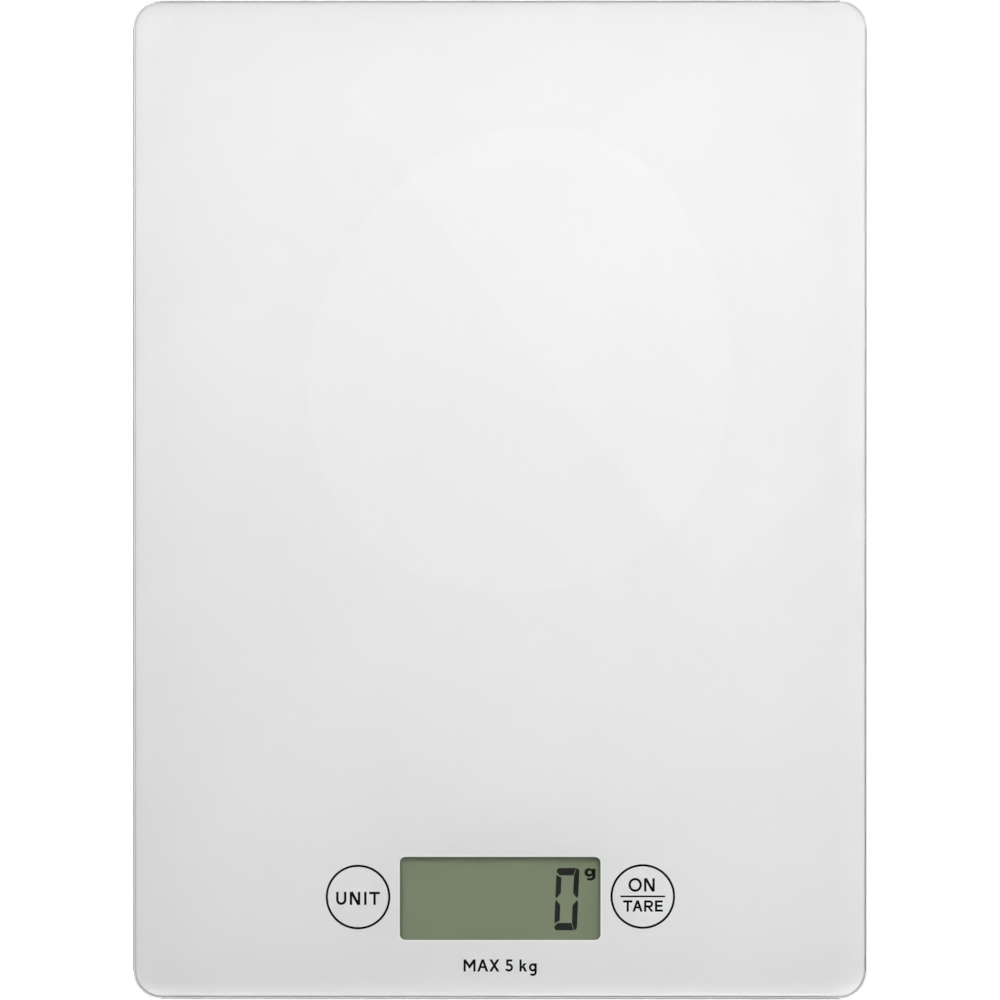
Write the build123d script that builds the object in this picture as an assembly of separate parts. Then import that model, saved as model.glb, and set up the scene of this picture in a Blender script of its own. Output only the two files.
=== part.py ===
from build123d import *
import os
from math import radians, tan

# Electronic kitchen scale with a glass platform. Millimetres, +X to the right, +Y to the back, +Z up.
# The origin is the middle of the footprint, on the surface that the four feet stand on.

# Platform
TOTAL_HEIGHT = 16.0
GLASS_WIDTH = 165.0
GLASS_DEPTH = 224.5
GLASS_THICK = 4.0
GLASS_CORNER = 6.3
GLASS_ARRIS = 0.5
GLASS_BOTTOM = TOTAL_HEIGHT - GLASS_THICK
FILM_THICK = 0.1
FILM_MARGIN = 0.6
FILM_BOTTOM = GLASS_BOTTOM - FILM_THICK
TAPE_THICK = 0.2
TAPE_BAND = 6.0
TAPE_BOTTOM = FILM_BOTTOM - TAPE_THICK

# Display window and touch keys
WINDOW_AT = (0.0, -89.7)
WINDOW_WIDTH = 45.2
WINDOW_DEPTH = 18.7
WINDOW_CORNER = 1.25
KEY_X = 32.0
KEY_Y = -89.2

# Housing
HOUSING_WIDTH = 153.0
HOUSING_DEPTH = 212.5
HOUSING_CORNER = 12.0
WALL = 2.0
PLATE_THICK = 1.4
PLATE_BOTTOM = TAPE_BOTTOM - PLATE_THICK
SPLIT_Z = 8.0
LIP_HEIGHT = 1.2
LIP_THICK = 0.9
LIP_GAP = 0.1
FLOOR_BOTTOM = 2.4
FLOOR_TOP = 4.0
RIB_THICK = 1.2
RIB_BOTTOM = SPLIT_Z

# Load cells and feet
CELL_X = 59.0
CELL_Y = 88.4
CELL_SIZE = 26.0
CELL_OPENING = 18.0
CELL_BOTTOM = 5.8
CELL_THICK = 1.2
CELL_TOP = CELL_BOTTOM + CELL_THICK
TONGUE_WIDTH = 8.0
TONGUE_EYE_R = 5.5
STUD_R = 2.0
STUD_HOLE_R = 2.1
FOOT_R = 8.5
FOOT_HOLE_R = 9.0
FOOT_LOW = 0.8
PAD_R = 6.9
PAD_HOLE_R = 7.0
PAD_TOP = 1.6

# Circuit board and display
PCB_BOTTOM = 5.6
PCB_TOP = 6.6
PCB_WIDTH = 86.0
PCB_FRONT = -103.4
PCB_BACK = -70.0
LCD_WIDTH = 49.0
LCD_FRONT = -101.6
LCD_BACK = -75.6
LCD_LEDGE = 3.5
LCD_TOP = 10.8
LCD_GLASS = 1.1
POLARIZER_THICK = 0.2
REFLECTOR_THICK = 0.25
FRAME_WALL = 1.2
FRAME_TOP = 11.5

# Wires
WIRE_R = 0.45
WIRE_PITCH = 1.3
WIRE_Z = CELL_TOP + 0.05 + WIRE_R
LEAD_R = 0.6
LEAD_Z = PCB_TOP + 0.1 + LEAD_R

# Battery bay
BAY_AT = (0.0, -40.0)
BAY_WIDTH = 24.6
BAY_DEPTH = 27.6
BAY_WALL = 1.6
BAY_ROOF = 8.4
BAY_TOP = 9.4
COIN_R = 10.0
COIN_BOTTOM = 4.1
COIN_TOP = 7.3
POCKET_R = 10.4
DOOR_GAP = 0.3
DOOR_TOP = 3.8
STRIP_THICK = 0.25

# Fasteners
COVER_SCREWS = [(68, 62), (-68, 62), (68, -62), (-68, -62), (24, 98), (-24, 98), (26, -62), (-26, -62)]
COVER_SEAT_Z = 4.2
COVER_BOSS_Z = 6.0
BOARD_SCREWS = [(40, -99.5), (-40, -99.5), (40, -74), (-40, -74)]

CORNERS = {
    "front_left": (-CELL_X, -CELL_Y),
    "front_right": (CELL_X, -CELL_Y),
    "back_left": (-CELL_X, CELL_Y),
    "back_right": (CELL_X, CELL_Y),
}

# Routes of the right-hand sensor wires, in plan, from the gauge's coating to the board.
# The left-hand ones are their mirror images.
GAUGE_INBOARD = 7.0
COAT_LENGTH = 3.4
WIRE_START_X = CELL_X - GAUGE_INBOARD - COAT_LENGTH / 2
FRONT_ROUTE = [(WIRE_START_X, -CELL_Y), (47.2, -CELL_Y), (45.0, -87.5), (42.4, -87.5)]
BACK_ROUTE = [
    (WIRE_START_X, CELL_Y),
    (46.6, CELL_Y),
    (42.5, 85.0),
    (40.5, 76.0),
    (39.5, 57.0),
    (40.0, 22.0),
    (41.0, -22.0),
    (39.5, -50.0),
    (35.5, -62.5),
    (33.0, -67.4),
    (33.0, -71.3),
]
POSITIVE_ROUTE = [(14.3, -56.2), (14.3, -60.5), (12.0, -65.5), (12.0, -71.3)]
NEGATIVE_ROUTE = [(0.0, -56.325), (0.0, -60.5), (-3.0, -65.5), (-3.0, -71.3)]


def slab(width, depth, low, high, corner=0.0, at=(0.0, 0.0)):
    """A flat block between two heights, with rounded upright corners."""
    outline = RectangleRounded(width, depth, corner) if corner else Rectangle(width, depth)
    return extrude(Pos(at[0], at[1], low) * outline, high - low)


def block(left, right, front, back, low, high):
    """A plain block between three pairs of planes."""
    centre = ((left + right) / 2, (front + back) / 2)
    return slab(right - left, back - front, low, high, at=centre)


def disc(radius, low, high, at=(0.0, 0.0)):
    """An upright cylinder between two heights."""
    return extrude(Pos(at[0], at[1], low) * Circle(radius), high - low)


def lowest_edges(shape):
    """The edges round the lowest face."""
    return shape.faces().sort_by(Axis.Z)[0].edges()


def highest_edges(shape):
    """The edges round the highest face."""
    return shape.faces().sort_by(Axis.Z)[-1].edges()


def inboard(at):
    """+1 where the middle of the scale lies towards +X of this corner, or else -1."""
    return -1 if at[0] > 0 else 1


def glass_platform():
    """The tempered glass plate, with its upper and lower edges arrised."""
    plate = slab(GLASS_WIDTH, GLASS_DEPTH, GLASS_BOTTOM, TOTAL_HEIGHT, GLASS_CORNER)
    return chamfer(lowest_edges(plate) + highest_edges(plate), GLASS_ARRIS)


def printed_film():
    """The white film behind the glass, with the clear window over the display."""
    margin = 2 * FILM_MARGIN
    film = slab(
        GLASS_WIDTH - margin, GLASS_DEPTH - margin, FILM_BOTTOM, GLASS_BOTTOM, GLASS_CORNER - FILM_MARGIN
    )
    return film - slab(WINDOW_WIDTH, WINDOW_DEPTH, 0, TOTAL_HEIGHT, WINDOW_CORNER, WINDOW_AT)


def adhesive_tape():
    """A band round the housing's rim and three cross bands, kept clear of the display and the keys."""
    inset = 3.0
    width = HOUSING_WIDTH - inset
    depth = HOUSING_DEPTH - inset
    corner = HOUSING_CORNER - inset / 2
    band = slab(width, depth, TAPE_BOTTOM, FILM_BOTTOM, corner)
    band -= slab(width - 2 * TAPE_BAND, depth - 2 * TAPE_BAND, 0, TOTAL_HEIGHT, corner - TAPE_BAND + 1)
    for y in (-62.0, 0.0, 58.0):
        band += slab(width - TAPE_BAND, 10.0, TAPE_BOTTOM, FILM_BOTTOM, at=(0, y))
    return band - block(-45, 45, -103.4, -70, 0, TOTAL_HEIGHT)


def wire_path(route, z):
    """Straight runs joined by tangent arcs, each as large as its two runs allow."""
    points = [Vector(x, y, z) for x, y in route]
    runs = [b - a for a, b in zip(points, points[1:])]
    radii = []
    for before, after in zip(runs, runs[1:]):
        turn = before.get_angle(after)
        radii.append(0.45 * min(before.length, after.length) / tan(radians(turn / 2)))
    print("wire radii", [round(r, 1) for r in radii])
    return FilletPolyline(*points, radius=radii)


def wire_along(path, radius, aside=0.0):
    """One round wire beside a flat path."""
    start = Plane(origin=path @ 0, x_dir=(0, 0, 1), z_dir=path % 0)
    return sweep(start * Pos(0, aside) * Circle(radius), path=path)


def sensor_wires(at):
    """The three wires from a corner's strain gauge to the board, side by side."""
    path = wire_path(FRONT_ROUTE if at[1] < 0 else BACK_ROUTE, WIRE_Z)
    wires = Part() + [wire_along(path, WIRE_R, i * WIRE_PITCH) for i in (-1, 0, 1)]
    return wires if at[0] > 0 else mirror(wires, about=Plane.YZ)


def wire_clips():
    """Hooks under the housing's top that the long wires lie in."""
    path = wire_path(BACK_ROUTE, WIRE_Z)
    hooks = Part()
    for share in (0.22, 0.42, 0.62, 0.8):
        centre = path @ share
        near = centre.X + WIRE_PITCH + WIRE_R + 0.6
        low = WIRE_Z - WIRE_R - 0.75
        hooks += block(near, near + 1.2, centre.Y - 2, centre.Y + 2, low, PLATE_BOTTOM)
        hooks += block(centre.X - 1.5, near, centre.Y - 2, centre.Y + 2, low, low + 0.6)
    return hooks + mirror(hooks, about=Plane.YZ)


def housing_outline(low, high, inset=0.0):
    """A slab of the housing's outline, drawn in by a distance."""
    return slab(HOUSING_WIDTH - 2 * inset, HOUSING_DEPTH - 2 * inset, low, high, HOUSING_CORNER - inset)


def upper_ribs():
    """Stiffening ribs under the top plate."""
    inner_width = HOUSING_WIDTH - 2 * WALL
    ribs = Part()
    for y in (-62.0, 0.0, 36.0, 66.0):
        ribs += slab(inner_width, RIB_THICK, RIB_BOTTOM, PLATE_BOTTOM, at=(0, y))
    for x in (-24.0, 24.0):
        ribs += block(x - RIB_THICK / 2, x + RIB_THICK / 2, -62, HOUSING_DEPTH / 2 - WALL, RIB_BOTTOM, PLATE_BOTTOM)
    return ribs


def cell_clamp(at):
    """The square rim that bears on a load cell's outer frame, open where the wires leave."""
    rim = slab(25.0, 25.0, CELL_TOP, PLATE_BOTTOM, 1.5, at) - slab(20.0, 20.0, 0, TOTAL_HEIGHT, at=at)
    gate = (at[0] + inboard(at) * 11, at[1])
    return rim - slab(6.0, 8.0, 0, TOTAL_HEIGHT, at=gate)


def upper_frame():
    """The housing's upper half: walls, top plate, ribs, bosses, load cell clamps and wire clips."""
    shell = housing_outline(SPLIT_Z, TAPE_BOTTOM)
    shell = fillet(highest_edges(shell), 0.6)
    shell = chamfer(lowest_edges(shell), 0.3)
    shell -= housing_outline(SPLIT_Z - 1, PLATE_BOTTOM, WALL)
    lip_room = WALL - LIP_THICK - LIP_GAP
    shell -= housing_outline(SPLIT_Z - 1, SPLIT_Z + LIP_HEIGHT + 0.2, lip_room)
    shell += upper_ribs()
    for at in CORNERS.values():
        shell += cell_clamp(at)
    for at in COVER_SCREWS:
        shell += disc(3.2, COVER_BOSS_Z, PLATE_BOTTOM, at)
        shell -= disc(1.3, COVER_BOSS_Z - 1, 9.8, at)
    for at in BOARD_SCREWS:
        shell += disc(2.5, PCB_TOP, PLATE_BOTTOM, at)
        shell -= disc(1.0, PCB_TOP - 1, 9.4, at)
    shell += wire_clips()
    shell -= block(-26.1, 26.1, -103.2, -74.0, 0, TOTAL_HEIGHT)
    for x in (-KEY_X, KEY_X):
        shell -= disc(5.4, 0, TOTAL_HEIGHT, (x, KEY_Y))
    return shell


def cell_pocket(at):
    """The ledge under a load cell's outer frame and the low wall round it."""
    ledge = slab(28.4, 28.4, FLOOR_TOP, CELL_BOTTOM, 2.0, at) - slab(20.0, 20.0, 0, TOTAL_HEIGHT, at=at)
    wall = slab(28.4, 28.4, CELL_BOTTOM, CELL_BOTTOM + 0.8, 2.0, at)
    return ledge + (wall - slab(26.4, 26.4, 0, TOTAL_HEIGHT, 2.0, at))


def battery_bay():
    """The bay's walls and roof, with the coin's round pocket cut from the block."""
    x, y = BAY_AT
    bay = slab(BAY_WIDTH + 2 * BAY_WALL, BAY_DEPTH + 2 * BAY_WALL, FLOOR_TOP, BAY_TOP, 1.5, BAY_AT)
    bay -= disc(POCKET_R, FLOOR_TOP - 1, BAY_ROOF, BAY_AT)
    for side in (-1, 1):
        for end in (-1, 1):
            bay -= disc(2.2, 5.4, TOTAL_HEIGHT, (x + side * 10.6, y + end * 11.8))
    return bay


def bay_slots():
    """Room for the door's tongues and latch and for the two contacts."""
    x, y = BAY_AT
    front = y - BAY_DEPTH / 2
    back = y + BAY_DEPTH / 2
    room = Part()
    for side in (-8.0, 8.0):
        room += block(x + side - 1.9, x + side + 1.9, front - 2.6, front + 3.5, FLOOR_TOP, 6.6)
    room += block(x - 3.2, x + 3.2, back - 4.2, back + 1.8, FLOOR_TOP, 6.4)
    room += block(x - 3.0, x + 3.0, front - 2, front + 5.8, 7.4, TOTAL_HEIGHT)
    room += block(x + 9.2, x + 14.4, y - 10.5, y + 6.5, 4.7, 8.3)
    return room


def lower_cover():
    """The housing's lower half: floor, walls, lip, load cell pockets, screw seats and battery bay."""
    tray = housing_outline(FLOOR_BOTTOM, SPLIT_Z)
    tray = fillet(lowest_edges(tray), 1.4)
    tray = chamfer(highest_edges(tray), 0.3)
    tray -= housing_outline(FLOOR_TOP, SPLIT_Z + 1, WALL)
    tray += housing_outline(SPLIT_Z - 0.5, SPLIT_Z + LIP_HEIGHT, WALL - LIP_THICK) - housing_outline(
        0, TOTAL_HEIGHT, WALL
    )
    for at in CORNERS.values():
        tray += cell_pocket(at)
        tray -= disc(FOOT_HOLE_R, 0, FLOOR_TOP + 1, at)
    for at in COVER_SCREWS:
        tray += disc(3.6, FLOOR_TOP, COVER_BOSS_Z, at)
        tray -= disc(2.7, 0, COVER_SEAT_Z, at)
        tray -= disc(1.5, 0, TOTAL_HEIGHT, at)
    tray += battery_bay()
    tray -= slab(BAY_WIDTH, BAY_DEPTH, 0, FLOOR_TOP, at=BAY_AT)
    return tray - bay_slots()


def battery_door():
    """The door plate, with two hinge tongues at the front, a latch finger at the back and a coin stop."""
    x, y = BAY_AT
    width = BAY_WIDTH - 2 * DOOR_GAP
    depth = BAY_DEPTH - 2 * DOOR_GAP
    front = y - depth / 2
    back = y + depth / 2
    door = slab(width, depth, FLOOR_BOTTOM, DOOR_TOP, at=BAY_AT)
    door += disc(6.0, DOOR_TOP, DOOR_TOP + 0.2, BAY_AT)
    for side in (-8.0, 8.0):
        left = x + side - 1.25
        door += block(left, left + 2.5, front, front + 1.2, DOOR_TOP, 4.9)
        door += block(left, left + 2.5, front - 1.8, front, 4.1, 4.9)
    door += block(x - 2.5, x + 2.5, back - 1.4, back - 0.4, DOOR_TOP, 5.8)
    door += block(x - 2.5, x + 2.5, back - 0.4, back + 0.05, 4.6, 5.4)
    nail_notch = block(x - 5, x + 5, back - 4.5, back - 1.5, FLOOR_BOTTOM - 1, FLOOR_BOTTOM + 0.7)
    return door - nail_notch


def coin_cell():
    """A CR2032 cell, with its positive can towards the door."""
    can = fillet(lowest_edges(disc(COIN_R, COIN_BOTTOM, COIN_TOP - 0.35, BAY_AT)), 0.5)
    return can + disc(8.8, COIN_TOP - 0.35, COIN_TOP, BAY_AT)


def strip(points, width, side):
    """A thin sprung strip bent along points, as wide as given in the direction of side."""
    path = FilletPolyline(*points, radius=0.8)
    start = Plane(origin=path @ 0, x_dir=side, z_dir=path % 0)
    return sweep(start * Rectangle(width, STRIP_THICK), path=path)


def battery_contact_negative():
    """The leaf that enters over the bay's front wall and bears on the top of the cell."""
    x = BAY_AT[0]
    touch = COIN_TOP + STRIP_THICK / 2
    profile = [(-56.2, 6.6), (-56.2, 8.9), (-51.5, 8.9), (-47.0, 7.9), (-42.5, touch), (-37.5, touch), (-33.5, 8.1)]
    return strip([(x, y, z) for y, z in profile], 4.5, (1, 0, 0))


def battery_contact_positive():
    """The leaf that enters through the bay's side and bears on the cell's rim."""
    touch = BAY_AT[0] + COIN_R + STRIP_THICK / 2
    plan = [(14.3, -56.2), (14.3, -50.0), (12.0, -45.5), (touch, -41.5), (touch, -38.5), (11.6, -35.0)]
    return strip([(x, y, 6.5) for x, y in plan], 3.2, (0, 0, 1))


def battery_lead(route):
    """The round lead from a battery contact to the board."""
    return wire_along(wire_path(route, LEAD_Z), LEAD_R)


def main_pcb():
    """The board, with its screw holes and the two holes for the display frame's pins."""
    board = block(-PCB_WIDTH / 2, PCB_WIDTH / 2, PCB_FRONT, PCB_BACK, PCB_BOTTOM, PCB_TOP)
    for at in BOARD_SCREWS:
        board -= disc(1.1, 0, TOTAL_HEIGHT, at)
    for x in (-20, 20):
        board -= disc(0.8, 0, TOTAL_HEIGHT, (x, -101.7))
    return board


def lcd_panel():
    """The display's two glass plates, the front one longer to leave the contact ledge at the back."""
    half = LCD_WIDTH / 2
    front_plate = block(-half, half, LCD_FRONT, LCD_BACK, LCD_TOP - LCD_GLASS, LCD_TOP)
    low = LCD_TOP - 2 * LCD_GLASS
    return front_plate + block(-half, half, LCD_FRONT, LCD_BACK - LCD_LEDGE, low, LCD_TOP - LCD_GLASS)


def lcd_polarizer():
    """The polarizing film on the display's front."""
    return slab(47.4, 21.4, LCD_TOP, LCD_TOP + POLARIZER_THICK, at=WINDOW_AT)


def lcd_reflector():
    """The reflecting film on the display's back."""
    top = LCD_TOP - 2 * LCD_GLASS
    half = LCD_WIDTH / 2 - 0.3
    return block(-half, half, LCD_FRONT + 0.3, LCD_BACK - LCD_LEDGE - 0.3, top - REFLECTOR_THICK, top)


def lcd_frame():
    """The moulded frame that stands on the board and holds the display by its rims."""
    gap = 0.1
    half = LCD_WIDTH / 2 + gap
    front = LCD_FRONT - gap
    back = LCD_BACK + gap
    shelf = LCD_TOP - 2 * LCD_GLASS - REFLECTOR_THICK
    frame = block(-half - FRAME_WALL, half + FRAME_WALL, front - FRAME_WALL, back + FRAME_WALL, PCB_TOP, FRAME_TOP)
    frame -= block(-half, half, front, back, shelf, LCD_TOP + 0.05)
    frame -= block(-half + 1.7, half - 1.7, front + 1.2, back, 0, shelf)
    frame -= slab(48.0, 22.0, LCD_TOP, TOTAL_HEIGHT, at=WINDOW_AT)
    for x in (-20, 20):
        frame += disc(0.7, PCB_BOTTOM - 0.6, PCB_TOP, (x, -101.7))
    return frame


def zebra_strip():
    """The striped elastomer that joins the board to the display's contact ledge."""
    return block(-22.5, 22.5, -78.7, -76.3, PCB_TOP, LCD_TOP - LCD_GLASS)


def touch_spring(x):
    """The coil that joins a key's pad on the board to the film, with its two ends ground flat."""
    wire_r = 0.35
    rise = FILM_BOTTOM - PCB_TOP - 2 * wire_r
    coil_r = 5.0 - wire_r
    coil = Helix(pitch=rise / 4, height=rise, radius=coil_r, center=(x, KEY_Y, PCB_TOP + wire_r))
    return sweep(Plane(origin=coil @ 0, z_dir=coil % 0) * Circle(wire_r), path=coil, is_frenet=True)


def chip_glob_top():
    """The low resin dome over the processor, under the board."""
    dome = disc(6.0, PCB_BOTTOM - 1.2, PCB_BOTTOM, (-10, -86))
    return fillet(lowest_edges(dome), 1.0)


def chip_row(count, first, pitch, size):
    """A row of equal small parts along +X under the board."""
    length, width, height = size
    row = Part()
    for i in range(count):
        at = (first[0] + i * pitch, first[1])
        row += slab(length, width, PCB_BOTTOM - height, PCB_BOTTOM, at=at)
    return row


def capacitors():
    """Ceramic chip capacitors."""
    return chip_row(6, (4, -80), 4.5, (1.25, 2.0, 0.9))


def resistors():
    """Chip resistors."""
    return chip_row(9, (3, -93), 3.2, (0.8, 1.6, 0.5))


def crystal():
    """The clock crystal's small can, lying on the board."""
    return Pos(32.5, -99.3, PCB_TOP + 1.1) * Rot(0, 90, 0) * Cylinder(1.1, 6.2)


def solder_joints():
    """A blob of solder at the board end of each wire."""
    joint_z = (PCB_TOP, PCB_TOP + 1.4)
    joints = Part()
    for i in (-1, 0, 1):
        front_y = FRONT_ROUTE[-1][1] + i * WIRE_PITCH
        front_x = FRONT_ROUTE[-1][0]
        back_x, back_y = BACK_ROUTE[-1]
        back_x += i * WIRE_PITCH
        for side in (-1, 1):
            inner, outer = sorted((side * (front_x - 1.6), side * front_x))
            joints += block(inner, outer, front_y - 0.55, front_y + 0.55, *joint_z)
            joints += slab(1.1, 1.6, *joint_z, at=(side * back_x, back_y - 0.8))
    for x, y in (POSITIVE_ROUTE[-1], NEGATIVE_ROUTE[-1]):
        joints += slab(1.6, 1.6, *joint_z, at=(x, y - 0.8))
    return chamfer(joints.edges().filter_by(Axis.Z), 0.25)


def load_cell(at):
    """The stamped frame, with a tongue from its inboard side that ends in an eye over the foot."""
    way = inboard(at)
    frame = slab(CELL_SIZE, CELL_SIZE, CELL_BOTTOM, CELL_TOP, 2.0, at)
    frame -= slab(CELL_OPENING, CELL_OPENING, 0, TOTAL_HEIGHT, 1.5, at)
    reach = CELL_OPENING / 2 + 0.5
    frame += slab(reach, TONGUE_WIDTH, CELL_BOTTOM, CELL_TOP, at=(at[0] + way * reach / 2, at[1]))
    frame += disc(TONGUE_EYE_R, CELL_BOTTOM, CELL_TOP, at)
    return frame - disc(STUD_HOLE_R, 0, TOTAL_HEIGHT, at)


def strain_gauge(at):
    """The foil gauge on a tongue's top."""
    centre = (at[0] + inboard(at) * (GAUGE_INBOARD - 0.4), at[1])
    return slab(3.0, 4.0, CELL_TOP, CELL_TOP + 0.1, at=centre)


def gauge_coating(at):
    """The silicone over a gauge and its wire ends."""
    centre = (at[0] + inboard(at) * GAUGE_INBOARD, at[1])
    coat = slab(COAT_LENGTH, 6.0, CELL_TOP, CELL_TOP + 1.1, at=centre)
    return fillet(highest_edges(coat), 0.3) - strain_gauge(at)


def foot_cap(at):
    """The moulded foot: a disc with the pad's recess, and a post staked through the load cell's eye."""
    base = disc(FOOT_R, FOOT_LOW, 3.4, at)
    base = fillet(lowest_edges(base), 0.6) - disc(PAD_HOLE_R, 0, PAD_TOP, at)
    base += disc(4.5, 3.4, CELL_BOTTOM, at)
    base += disc(STUD_R, CELL_BOTTOM, CELL_TOP + 0.1, at)
    head = disc(3.0, CELL_TOP + 0.1, CELL_TOP + 0.8, at)
    return base + fillet(highest_edges(head), 0.4)


def foot_pad(at):
    """The rubber pad that stands on the table."""
    pad = disc(PAD_R, 0, PAD_TOP, at)
    return fillet(lowest_edges(pad), 0.5)


def screw(at, head_r, head_low, seat, shank_r, tip):
    """An upright screw with a cross recess in its head, which is underneath."""
    head = fillet(lowest_edges(disc(head_r, head_low, seat, at)), 0.35)
    depth = (seat - head_low) * 0.6
    for size in ((head_r * 1.1, head_r * 0.26), (head_r * 0.26, head_r * 1.1)):
        head -= slab(*size, head_low - 1, head_low + depth, at=at)
    shank = disc(shank_r, seat, tip, at)
    return head + chamfer(highest_edges(shank), shank_r * 0.5)


def cover_screws():
    """The screws that close the housing."""
    return Part() + [screw(at, 2.4, COVER_SEAT_Z - 1.4, COVER_SEAT_Z, 1.25, 9.2) for at in COVER_SCREWS]


def pcb_screws():
    """The screws that hold the board to the upper frame."""
    return Part() + [screw(at, 1.8, PCB_BOTTOM - 1.1, PCB_BOTTOM, 0.95, 9.0) for at in BOARD_SCREWS]


def at_each_corner(make):
    """One group of a piece that every corner has."""
    return Part() + [make(at) for at in CORNERS.values()]


def all_parts():
    """Every node's name and shape."""
    parts = {
        "glass_platform": glass_platform(),
        "printed_film": printed_film(),
        "adhesive_tape": adhesive_tape(),
        "upper_frame": upper_frame(),
        "lower_cover": lower_cover(),
        "battery_door": battery_door(),
        "coin_cell": coin_cell(),
        "battery_contact_positive": battery_contact_positive(),
        "battery_contact_negative": battery_contact_negative(),
        "battery_lead_positive": battery_lead(POSITIVE_ROUTE),
        "battery_lead_negative": battery_lead(NEGATIVE_ROUTE),
        "main_pcb": main_pcb(),
        "lcd_panel": lcd_panel(),
        "lcd_polarizer": lcd_polarizer(),
        "lcd_reflector": lcd_reflector(),
        "lcd_frame": lcd_frame(),
        "zebra_strip": zebra_strip(),
        "unit_touch_spring": touch_spring(-KEY_X),
        "tare_touch_spring": touch_spring(KEY_X),
        "chip_glob_top": chip_glob_top(),
        "capacitors": capacitors(),
        "resistors": resistors(),
        "crystal": crystal(),
        "solder_joints": solder_joints(),
        "strain_gauges": at_each_corner(strain_gauge),
        "gauge_coatings": at_each_corner(gauge_coating),
        "cover_screws": cover_screws(),
        "pcb_screws": pcb_screws(),
    }
    for corner, at in CORNERS.items():
        parts["load_cell_" + corner] = load_cell(at)
        parts["foot_cap_" + corner] = foot_cap(at)
        parts["foot_pad_" + corner] = foot_pad(at)
        parts["sensor_wires_" + corner] = sensor_wires(at)
    return parts


os.makedirs("parts", exist_ok=True)
for name, shape in all_parts().items():
    export_step(shape, f"parts/{name}.step")
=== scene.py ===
import math

import bpy
import numpy as np
from bpy.props import FloatProperty, FloatVectorProperty, PointerProperty
from mathutils import Matrix, Vector


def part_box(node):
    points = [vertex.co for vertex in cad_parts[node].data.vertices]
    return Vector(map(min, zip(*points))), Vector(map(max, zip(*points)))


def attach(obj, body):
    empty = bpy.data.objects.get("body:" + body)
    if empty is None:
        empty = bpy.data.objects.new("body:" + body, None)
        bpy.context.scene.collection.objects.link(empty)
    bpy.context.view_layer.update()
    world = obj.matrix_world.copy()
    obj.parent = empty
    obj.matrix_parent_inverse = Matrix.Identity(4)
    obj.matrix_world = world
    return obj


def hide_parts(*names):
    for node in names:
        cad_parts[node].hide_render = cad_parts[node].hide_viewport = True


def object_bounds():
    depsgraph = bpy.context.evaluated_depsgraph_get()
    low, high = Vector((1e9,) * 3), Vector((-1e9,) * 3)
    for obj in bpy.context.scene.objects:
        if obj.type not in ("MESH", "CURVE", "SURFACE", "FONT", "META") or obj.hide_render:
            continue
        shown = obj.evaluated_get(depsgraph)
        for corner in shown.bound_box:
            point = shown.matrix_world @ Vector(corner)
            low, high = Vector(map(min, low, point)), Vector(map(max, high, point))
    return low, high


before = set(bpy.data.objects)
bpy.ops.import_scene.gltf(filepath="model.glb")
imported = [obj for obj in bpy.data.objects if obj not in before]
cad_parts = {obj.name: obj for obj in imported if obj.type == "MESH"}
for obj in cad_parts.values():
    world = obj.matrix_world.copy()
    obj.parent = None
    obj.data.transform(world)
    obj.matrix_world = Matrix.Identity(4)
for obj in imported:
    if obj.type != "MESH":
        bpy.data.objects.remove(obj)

bl_info = {
    "name": "Glass Kitchen Scale",
    "version": (1, 0, 0),
    "blender": (4, 5, 0),
    "location": "View3D > Sidebar > Kitchen Scale",
    "description": "Makes the glass plate, the print, the display and the finishes of a thin kitchen scale",
    "category": "Add Mesh",
}

CAD_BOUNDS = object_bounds()
MM = 0.001
GLASS_LOW, GLASS_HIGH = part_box("glass_platform")
FILM_LOW, FILM_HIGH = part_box("printed_film")
PANEL_LOW, PANEL_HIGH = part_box("lcd_polarizer")

BEVEL_BANDS = 3
# The dark band is a painted reflection: an opaque dark strip that stands in for the dark reflection on the
# polished arris.
PAINTED_DARK_EDGE_BANDS = (2, 0, 1, 2)  # which band of the upper bevel is dark on the back, left, front and right
EASE_STEPS = 4

WINDOW_FROM_FRONT = 21.95 * MM  # from the film's front edge to the window's middle
WINDOW_HALF = Vector((22.6, 9.35)) * MM
WINDOW_CORNER = 1.25 * MM

# How far each printed or lit piece reaches into and out of the face it lies on
BORDER_SINK, BORDER_RISE = 0.003 * MM, 0.005 * MM
LEGEND_SINK, LEGEND_RISE = 0.004 * MM, 0.008 * MM
SEGMENT_SINK, SEGMENT_RISE = 0.004 * MM, 0.012 * MM

# Each word's cap height, line width and gaps between letters, in millimetres
WORDS = {
    "UNIT": (2.95, 0.54, (0.76, 0.88, 0.60)),
    "ON": (3.00, 0.52, (0.50,)),
    "TARE": (2.55, 0.49, (0.02, 0.32, 0.36)),
    "MAX5kg": (2.75, 0.50, (0.38, 0.22, 1.35, 1.45, 0.42)),
}
RULE_HALF_LENGTH, RULE_HALF_WIDTH = 5.05 * MM, 0.19 * MM
CAPACITY_FROM_PANEL = 4.4 * MM

# Where the digit's lower left corner lies on the panel, and how far the unit sign's lies from it
DIGIT_FROM_RIGHT, DIGIT_FROM_FRONT = 11.60 * MM, 3.46 * MM
SIGN_FROM_DIGIT = (6.86 * MM, 11.20 * MM)

# Places and sizes of the stage's lamps and floor, in metres
KEY_PLACE, KEY_SIZE = (-0.45, 0.75, 0.7), 0.3
FILL_PLACE, FILL_SIZE = (0.32, 0.1, 0.5), 0.25
ROUND_CARD_AT, ROUND_CARD_HEIGHT, ROUND_CARD_SIZE = (0.035, 0.063), 1.616, 0.36
SQUARE_CARD_EDGE, SQUARE_CARD_SIZE = (0.03, 0.0915, 1.62), 0.5
SQUARE_CARD_ACROSS = Vector((0.747, 0.664, 0.0))  # the direction from its near edge to its middle
FLOOR_REACH, FLOOR_GAP = 3.0, 0.02 * MM
SENSOR_WIDTH = 36.0  # of the camera, in millimetres


# ---------------------------------------------------------------- settings


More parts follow.
